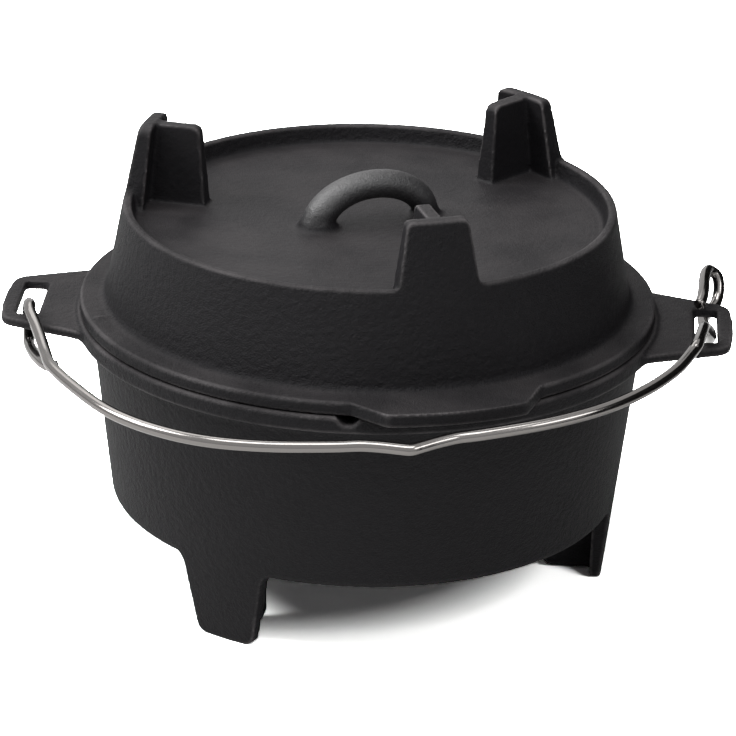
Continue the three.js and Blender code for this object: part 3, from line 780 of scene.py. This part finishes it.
# A round bar in a low arch, stouter towards its left foot, with a flare at each end.
def makeHandle():
    steps, sides = handle["steps"], handle["sides"]
    span, rise = handle["halfSpan"], handle["rise"]
    root = trayFloor - overrun
    rings = []
    for k in range(steps + 1):
        angle = math.pi * (1 - k / steps)
        foot = handle["leftBar"] if angle > math.pi / 2 else handle["rightBar"]
        share = (2 * k / steps - 1) ** 2
        rings.append((Vector((span * math.cos(angle), 0, trayFloor + rise * math.sin(angle))),
                      Vector((rise * math.cos(angle), 0, span * math.sin(angle))).normalized(),
                      handle["bar"] * (1 - share) + foot * share))
    for end, (centre, out, bar) in ((0, rings[0]), (len(rings) + 1, rings[-1])):
        rings.insert(end, (Vector((centre.x, 0, root)), out, bar))
    turn = Matrix.Rotation(math.radians(handle["angle"]), 4, "Z")
    place = turn @ Matrix.Translation((handle["offset"], 0, 0))
    vertices = []
    for centre, out, bar in rings:
        for s in range(sides):
            a = 2 * math.pi * s / sides
            vertices.append(place @ (centre + bar * (math.cos(a) * out + math.sin(a) * Vector((0, 1, 0)))))
    faces = [list(range(sides)), list(range(len(vertices) - sides, len(vertices)))]
    for k in range(len(rings) - 1):
        for s in range(sides):
            n = (s + 1) % sides
            faces.append([k * sides + s, k * sides + n, (k + 1) * sides + n, (k + 1) * sides + s])
    made = [newObject("handleBar", vertices, faces)]
    for x, bar in ((-span, handle["leftBar"]), (span, handle["rightBar"])):
        foot = turned("handleFoot", [
            (0, root),
            (bar + handle["flare"], root),
            (bar + handle["flare"], trayFloor),
            (bar + handle["flare"] / 3, trayFloor + handle["footHeight"] / 3),
            (bar - handle["flare"] / 8, trayFloor + handle["footHeight"]),
            (0, trayFloor + handle["footHeight"]),
        ], handle["footSides"])
        shift = place @ Matrix.Translation((x, 0, 0))
        foot.data.transform(Matrix.Scale(mm, 4) @ shift @ Matrix.Scale(1 / mm, 4))
        made.append(foot)
    return made


tick = {"length": 8.5, "width": 2.2, "height": 0.9, "inset": 3.5, "sink": 2.0, "angle": -159.3}


# A short raised line that is cast on the flange.
def makeTick():
    outer = flangeRadius - tick["inset"]
    half = tick["width"] / 2
    low = flangeTop - tick["sink"]
    top = flangeTop + tick["height"]
    outline = [(-half, low), (half, low), (half, top), (-half, top)]
    return prism("tick", outline, outer - tick["length"], outer, radialAcross(tick["angle"]))


lidCasting = castTogether("lidCasting", [lidBody, makeTab(), makeLidLegs(), *makeHandle(), makeTick()])
print("lid made")

# Bail
bail = {
    "wire": 3.1,
    "clearance": 3.2,
    "eyeSlack": 0.35,
    "barEdge": 1.4,  # round on the edges of the bars that the eyes go round
    "shift": 1.8,
    "lift": 17.0,
    "kink": 8.8,
    "droop": 6.0,
    "roll": 3.63,
    "endRound": 1.5,
    "endSteps": 5,
    "sides": 28,
    "steps": 900,
    "quickSteps": 360,
}
# Half of the bow: shares of half its span, of its depth and of the kink
bowShares = [
    (0.03, 1, 0.8), (0.068, 1, 0.49), (0.1, 1, 0.27), (0.14, 1, 0.06), (0.2, 0.9975, 0), (0.282, 0.985, 0),
    (0.367, 0.969, 0), (0.452, 0.946, 0), (0.537, 0.914, 0), (0.621, 0.869, 0), (0.706, 0.805, 0),
    (0.763, 0.75, 0), (0.819, 0.682, 0), (0.876, 0.585, 0),
]
# The eyes: outwards, forwards and upwards from the middle of the bar, in shares of the eye's radius
leftEyeShares = [
    (1.0, 6.4, 0.0), (0.78, 5.05, 0.14), (0.57, 3.5, 0.4), (0.31, 1.9, 0.68), (0.1, 0.85, 0.92),
    (0.09, 0.0, 1.02), (0.06, -0.72, 0.74), (0.05, -1.04, 0.0), (0.06, -0.74, -0.78), (0.03, 0.0, -1.15),
    (0.15, 1.25, -1.15), (0.42, 2.7, -1.06), (0.68, 3.65, -0.95), (0.98, 4.2, -0.9), (1.4, 4.45, -0.82),
]
rightEyeShares = [
    (-2.09, 10.0, 1.87), (-1.61, 8.55, 1.88), (-1.18, 7.1, 1.72), (-0.89, 6.29, 1.34), (-0.58, 5.54, 0.86),
    (-0.28, 4.5, 0.22), (-0.07, 3.22, -0.45), (0.06, 1.94, -0.86), (0.2, 0.65, -1.0), (0.25, 0.0, -1.05),
    (0.27, -0.55, -1.05), (0.34, -1.1, -1.02), (0.78, -1.85, -0.92), (1.3, -2.5, -0.62), (1.52, -3.0, 0.0),
    (1.44, -3.3, 0.66), (1.05, -3.3, 1.0), (0.64, -2.4, 1.24), (0.33, -1.25, 1.24), (0.1, -0.11, 1.16),
    (-0.18, 0.97, 0.99), (-0.44, 1.56, 0.82),
]


# Control points of the wire, hooked on the front bar of one ear and the back bar of the other.
def bailPoints():
    edge = bail["barEdge"]
    # Half the width of the bars beside the hand holes, and their middles, on which the bail turns
    reach = rimRadius + ear["length"]
    holeMiddle = rimRadius + ear["holeInset"] + ear["holeWidth"] / 2
    rootX = rimRadius * math.cos(math.asin(ear["rootHalf"] / rimRadius))
    slope = (ear["rootHalf"] - ear["endHalf"]) / (reach - rootX)
    barHalf = (ear["endHalf"] + (reach - holeMiddle) * slope - ear["holeHalf"]) / 2
    barX = holeMiddle - ear["holeWidth"] / 8
    barY = ear["holeHalf"] + barHalf
    corner = math.hypot(barHalf - edge / 2, ear["thickness"] / 2 - edge / 2) + edge / 2
    eye = corner + bail["wire"] + bail["eyeSlack"]
    hinge = math.hypot(barX, barY)
    droop = math.radians(bail["droop"])
    roll = math.radians(bail["roll"])
    along = Vector((math.cos(roll), 0, math.sin(roll)))
    normal = Vector((-math.sin(roll), 0, math.cos(roll)))
    forward = Vector((0, -math.cos(droop), 0)) - normal * math.sin(droop)
    halfSpan = hinge - eye / 4
    depth = flangeRadius + tab["out"] + bail["clearance"]

    def onBow(side, shares):
        a, f, k = shares
        return (Vector((0, 0, bail["lift"])) + along * (side * a * halfSpan + bail["shift"])
                + forward * (f * depth + k * bail["kink"]))

    def onEye(side, shares):
        a, f, u = shares
        return Vector((side * hinge + a * eye, -f * eye, u * eye))

    spots = [onEye(-1, s) for s in reversed(leftEyeShares)]
    spots += [onBow(-1, s) for s in reversed(bowShares)]
    spots += [onBow(0, (0, 1, 1))]
    spots += [onBow(1, s) for s in bowShares]
    spots += [onEye(1, s) for s in rightEyeShares]
    level = rimTop - ear["drop"] - ear["thickness"] / 2
    place = Matrix.Translation((0, 0, level)) @ Matrix.Rotation(math.atan2(barY, barX), 4, "Z")
    return [place @ s for s in spots]


# Evenly spaced points on a centripetal curve through the spots, and its length.
def smoothPath(spots, count, steps=24):
    ends = [spots[0] * 2 - spots[1], *spots, spots[-1] * 2 - spots[-2]]
    fine = []
    for i in range(1, len(ends) - 2):
        p = ends[i - 1:i + 3]
        knots = [0.0]
        for k in range(3):
            knots.append(knots[-1] + math.sqrt((p[k + 1] - p[k]).length))
        for s in range(steps):
            t = knots[1] + (knots[2] - knots[1]) * s / steps
            a = [p[k] * ((knots[k + 1] - t) / (knots[k + 1] - knots[k]))
                 + p[k + 1] * ((t - knots[k]) / (knots[k + 1] - knots[k])) for k in range(3)]
            b = [a[k] * ((knots[k + 2] - t) / (knots[k + 2] - knots[k]))
                 + a[k + 1] * ((t - knots[k]) / (knots[k + 2] - knots[k])) for k in range(2)]
            fine.append(b[0] * ((knots[2] - t) / (knots[2] - knots[1]))
                        + b[1] * ((t - knots[1]) / (knots[2] - knots[1])))
    fine.append(spots[-1])
    lengths = [0.0]
    for a, b in zip(fine, fine[1:]):
        lengths.append(lengths[-1] + (b - a).length)
    even = []
    k = 0
    for n in range(count):
        wanted = lengths[-1] * n / (count - 1)
        while k < len(fine) - 2 and lengths[k + 1] < wanted:
            k += 1
        share = (wanted - lengths[k]) / (lengths[k + 1] - lengths[k])
        even.append(fine[k].lerp(fine[k + 1], min(1.0, share)))
    return even, lengths[-1]


# The wire as a tube swept along its path by geometry nodes, with softly rounded ends.
def makeBail():
    spots, length = smoothPath(bailPoints(), bail["steps"])
    data = bpy.data.curves.new("bailPath", "CURVE")
    data.dimensions = "3D"
    line = data.splines.new("POLY")
    line.points.add(len(spots) - 1)
    for point, spot in zip(line.points, spots):
        point.co = (*((spot * mm) + potAxis), 1.0)
    path = bpy.data.objects.new("bailPath", data)
    bpy.context.scene.collection.objects.link(path)
    tree, start = newTree("wireSweep", Radius="Float", Sides="Int")
    section = addNode(tree, "GeometryNodeCurvePrimitiveCircle", {
        "Resolution": start.outputs["Sides"], "Radius": start.outputs["Radius"]})
    sweep = addNode(tree, "GeometryNodeCurveToMesh", {
        "Curve": start.outputs["Geometry"], "Profile Curve": section, "Fill Caps": True})
    smooth = addNode(tree, "GeometryNodeSetShadeSmooth", {"Geometry": sweep})
    runTree(tree, smooth, stainlessWire, path, {"Radius": bail["wire"] * mm, "Sides": bail["sides"]})
    graph = bpy.context.evaluated_depsgraph_get()
    mesh = bpy.data.meshes.new_from_object(path.evaluated_get(graph))
    bpy.data.objects.remove(path)
    wire = bpy.data.objects.new("bailWire", mesh)
    bpy.context.scene.collection.objects.link(wire)
    build = bmesh.new()
    build.from_mesh(mesh)
    caps = [f for f in build.faces if len(f.verts) > 4]
    bmesh.ops.bevel(build, geom=[e for f in caps for e in f.edges], offset=bail["endRound"] * mm,
                    segments=bail["endSteps"], profile=0.5, affect="EDGES")
    build.to_mesh(mesh)
    build.free()
    print("bail length", round(length, 1), "faces", len(mesh.polygons), "caps", len(caps))
    return wire


bailWire = makeBail()
print("bail made")

for piece, node, material, slot in ((potCasting, "pot", castIron, "seasoned_iron"),
                                    (lidCasting, "lid", castIron, "seasoned_iron"),
                                    (bailWire, "bail", stainlessWire, "stainless_wire")):
    piece.data.materials.clear()
    piece.data.materials.append(material)
    piece.data.shade_smooth()
    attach(piece, node)
    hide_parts(node)
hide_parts("lid_handle")

# Studio, in metres
studio = {
    "floor": "#f6f6f5",
    "floorReach": 8.0,
    "floorShown": 8.0,  # how much whiter the camera sees the floor, so that it clears to white
    "clearing": (1.2, 2.2),  # distances between which the seen floor turns into the white behind it
    "world": 0.004,
    "lights": [
        # name, place, size, watts; each is aimed at the middle of the oven
        ("leftSoftbox", (-1.35, -0.2, 1.3), (0.8, 0.9), 32.0),
        ("overheadFront", (-0.1, -0.6, 1.9), (1.5, 0.8), 26.0),
        ("overheadBack", (-0.6, 1.0, 1.7), (1.4, 1.0), 9.0),
        ("lowRight", (1.0, -0.9, 1.02), (0.55, 0.5), 5.5),
    ],
    "aim": (0.0, 0.0, 0.12),
    "card": "#141414",
    "standingLift": 0.01,
    "lyingLift": 0.002,
    "standing": [
        # corners in plan, and height, of black cards that darken the right side
        ((1.3, -1.0), (1.2, 2.0), 1.8),
        ((1.2, 2.0), (0.25, 2.1), 1.8),
    ],
    "lying": ((0.5, -0.85), (1.25, 1.6)),  # corners of a black card beside the oven
}


# A flat surface of the studio with one material.
def stagePlane(name, corners, material):
    mesh = bpy.data.meshes.new(name)
    mesh.from_pydata(corners, [], [(0, 1, 2, 3)])
    mesh.materials.append(material)
    obj = bpy.data.objects.new(name, mesh)
    bpy.context.scene.collection.objects.link(obj)
    return obj


# A pale matt floor that keeps the shadow, and clears to white for the camera.
def makeFloor():
    material = bpy.data.materials.new("paleFloor")
    material.use_nodes = True
    tree = material.node_tree
    tree.nodes.clear()
    seen = addNode(tree, "ShaderNodeLightPath").outputs["Is Camera Ray"]
    gain = addNode(tree, "ShaderNodeMapRange", {"Value": seen, "To Min": 1.0, "To Max": studio["floorShown"]})
    color = addNode(tree, "ShaderNodeVectorMath", {
        0: linear(studio["floor"])[:3], "Scale": gain}, operation="SCALE")
    paint = addNode(tree, "ShaderNodeBsdfDiffuse", {"Color": color})
    place = addNode(tree, "ShaderNodeTexCoord").outputs["Object"]
    away = addNode(tree, "ShaderNodeVectorMath", {0: place}, operation="LENGTH")
    far = addNode(tree, "ShaderNodeMapRange", {
        "Value": away, "From Min": studio["clearing"][0], "From Max": studio["clearing"][1]})
    cleared = addNode(tree, "ShaderNodeMath", {0: far, 1: seen}, operation="MULTIPLY")
    white = addNode(tree, "ShaderNodeEmission", {"Color": (1, 1, 1, 1), "Strength": 1.0})
    both = addNode(tree, "ShaderNodeMixShader", {0: cleared, 1: paint, 2: white})
    addNode(tree, "ShaderNodeOutputMaterial", {"Surface": both})
    reach = studio["floorReach"]
    corners = [(-reach, -reach, 0), (reach, -reach, 0), (reach, reach, 0), (-reach, reach, 0)]
    stagePlane("floor", corners, material)


# Matt black cards, mirrored in the right side of the iron and never seen themselves.
def makeCards():
    material = bpy.data.materials.new("blackCard")
    material.use_nodes = True
    shader = material.node_tree.nodes["Principled BSDF"]
    shader.inputs["Base Color"].default_value = linear(studio["card"])
    shader.inputs["Roughness"].default_value = 1.0
    low = studio["standingLift"]
    shapes = [[(*first, low), (*last, low), (*last, height), (*first, height)]
              for first, last, height in studio["standing"]]
    low = studio["lyingLift"]
    (x0, y0), (x1, y1) = studio["lying"]
    shapes.append([(x0, y0, low), (x1, y0, low), (x1, y1, low), (x0, y1, low)])
    for k, corners in enumerate(shapes):
        card = stagePlane(f"card{k}", corners, material)
        card.visible_camera = False
        card.visible_shadow = False


# White to the camera and in mirrors, and nearly dark to what it lights.
def makeWorld():
    world = bpy.data.worlds.new("studio")
    bpy.context.scene.world = world
    world.use_nodes = True
    tree = world.node_tree
    tree.nodes.clear()
    path = addNode(tree, "ShaderNodeLightPath")
    mirrored = addNode(tree, "ShaderNodeMath", {
        0: path.outputs["Is Glossy Ray"], 1: path.outputs["Is Transmission Ray"]}, operation="MAXIMUM")
    seen = addNode(tree, "ShaderNodeMath", {
        0: path.outputs["Is Camera Ray"], 1: mirrored}, operation="MAXIMUM")
    level = addNode(tree, "ShaderNodeMapRange", {"Value": seen, "To Min": studio["world"], "To Max": 1.0})
    shade = addNode(tree, "ShaderNodeBackground", {"Color": (1, 1, 1, 1), "Strength": level})
    addNode(tree, "ShaderNodeOutputWorld", {"Surface": shade})


# Softboxes at the left and overhead, and a weaker one at the right that draws the shadow's edge.
def makeLights():
    aim = Vector(studio["aim"])
    for name, place, size, power in studio["lights"]:
        data = bpy.data.lights.new(name, "AREA")
        data.shape = "RECTANGLE"
        data.size, data.size_y = size
        data.energy = power
        lamp = bpy.data.objects.new(name, data)
        lamp.location = place
        lamp.rotation_euler = (aim - Vector(place)).to_track_quat("-Z", "Y").to_euler()
        bpy.context.scene.collection.objects.link(lamp)


shot = {
    "azimuth": 3.149853,
    "elevation": 22.063803,
    "roll": 1.266807,
    "distance": 2.3239593,
    "lens": 213.52,
    "sensor": 36.0,
    "farthest": 50.0,
    "targetX": 0.00092262,
    "targetZ": 0.10943713,
}


# A long lens, fitted to the photograph, a little above the lid.
def makeCamera():
    azimuth, elevation, roll = (math.radians(shot[k]) for k in ("azimuth", "elevation", "roll"))
    ahead = Vector((-math.sin(azimuth) * math.cos(elevation), math.cos(azimuth) * math.cos(elevation),
                    -math.sin(elevation)))
    level = Vector((math.cos(azimuth), math.sin(azimuth), 0))
    upright = level.cross(ahead)
    right = level * math.cos(roll) + upright * math.sin(roll)
    up = upright * math.cos(roll) - level * math.sin(roll)
    place = Vector((shot["targetX"], potAxis.y, shot["targetZ"])) - ahead * shot["distance"]
    data = bpy.data.cameras.new("camera")
    data.lens = shot["lens"]
    data.sensor_width = shot["sensor"]
    data.clip_end = shot["farthest"]
    camera = bpy.data.objects.new("camera", data)
    camera.matrix_world = Matrix((
        (right.x, up.x, -ahead.x, place.x),
        (right.y, up.y, -ahead.y, place.y),
        (right.z, up.z, -ahead.z, place.z),
        (0, 0, 0, 1),
    ))
    bpy.context.scene.collection.objects.link(camera)
    bpy.context.scene.camera = camera


makeFloor()
makeCards()
makeWorld()
makeLights()
makeCamera()
bpy.context.scene.view_settings.view_transform = "Standard"
print("studio made")
